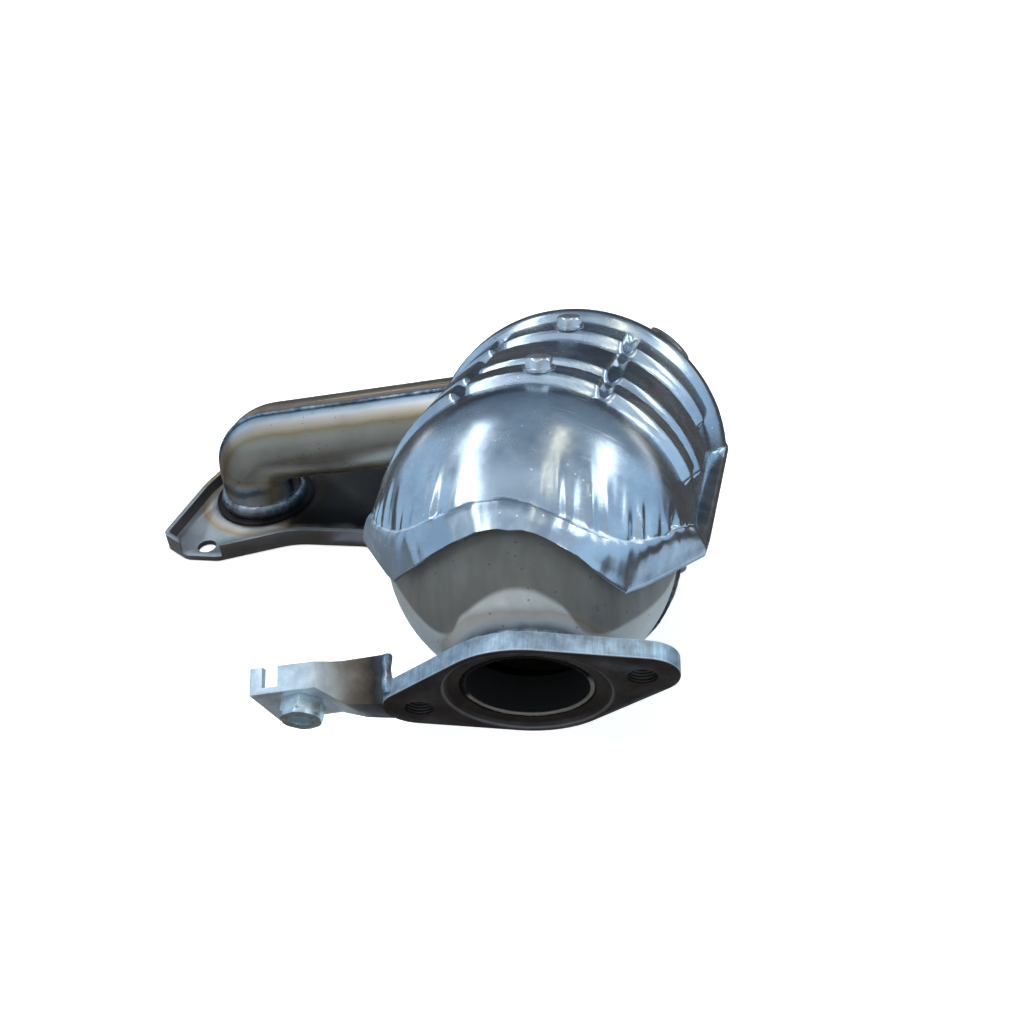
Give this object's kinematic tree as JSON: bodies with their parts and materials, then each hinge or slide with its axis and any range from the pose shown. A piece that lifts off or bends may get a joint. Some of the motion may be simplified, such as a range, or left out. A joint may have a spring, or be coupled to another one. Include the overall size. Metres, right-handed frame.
{
  "type": "catalytic converter",
  "caption": "Exhaust manifold with a close-coupled catalytic converter under a ribbed heat shield, with a pressed head flange, an oval outlet flange and a stay bracket.",
  "frame": {"origin": "centre of the middle port on the head flange's gasket face", "axes": "+X along the head flange towards the converter, +Y across the flange away from the outlet, +Z off the cylinder head"},
  "size_m": [0.3016, 0.2883, 0.1765],
  "materials": {
    "stainless": "matte, heat tinted by welds",
    "flange_steel": "rolled, slightly brown",
    "weld": "bead, blue tint",
    "shield": "bright pressed sheet",
    "zinc": "zinc plated",
    "ceramic": "washcoated honeycomb",
    "fibre": "felted mat"
  },
  "bodies": {
    "root": {"head_flange": "flange_steel", "collector": "stainless", "runner_1_front": "stainless", "runner_1_rear": "stainless", "runner_2": "stainless", "runner_3": "stainless", "port_weld_1": "weld", "port_weld_2": "weld", "port_weld_3": "weld", "converter_can": "stainless", "outlet_cone": "stainless", "substrate_front": "ceramic", "substrate_rear": "ceramic", "support_mat": "fibre", "mat_ring_front": "stainless", "mat_ring_rear": "stainless", "cone_weld": "weld", "collector_weld": "weld", "outlet_flange": "flange_steel", "outlet_pipe": "stainless", "outlet_weld": "weld", "bore_weld": "weld", "heat_shield": "shield", "shield_bracket_near": "stainless", "shield_nut_near": "zinc", "shield_bolt_near": "zinc", "shield_bracket_far": "stainless", "shield_nut_far": "zinc", "shield_bolt_far": "zinc", "stay_bracket": "flange_steel", "stay_nut": "zinc", "sensor_bung": "stainless"}
  },
  "joints": []
}
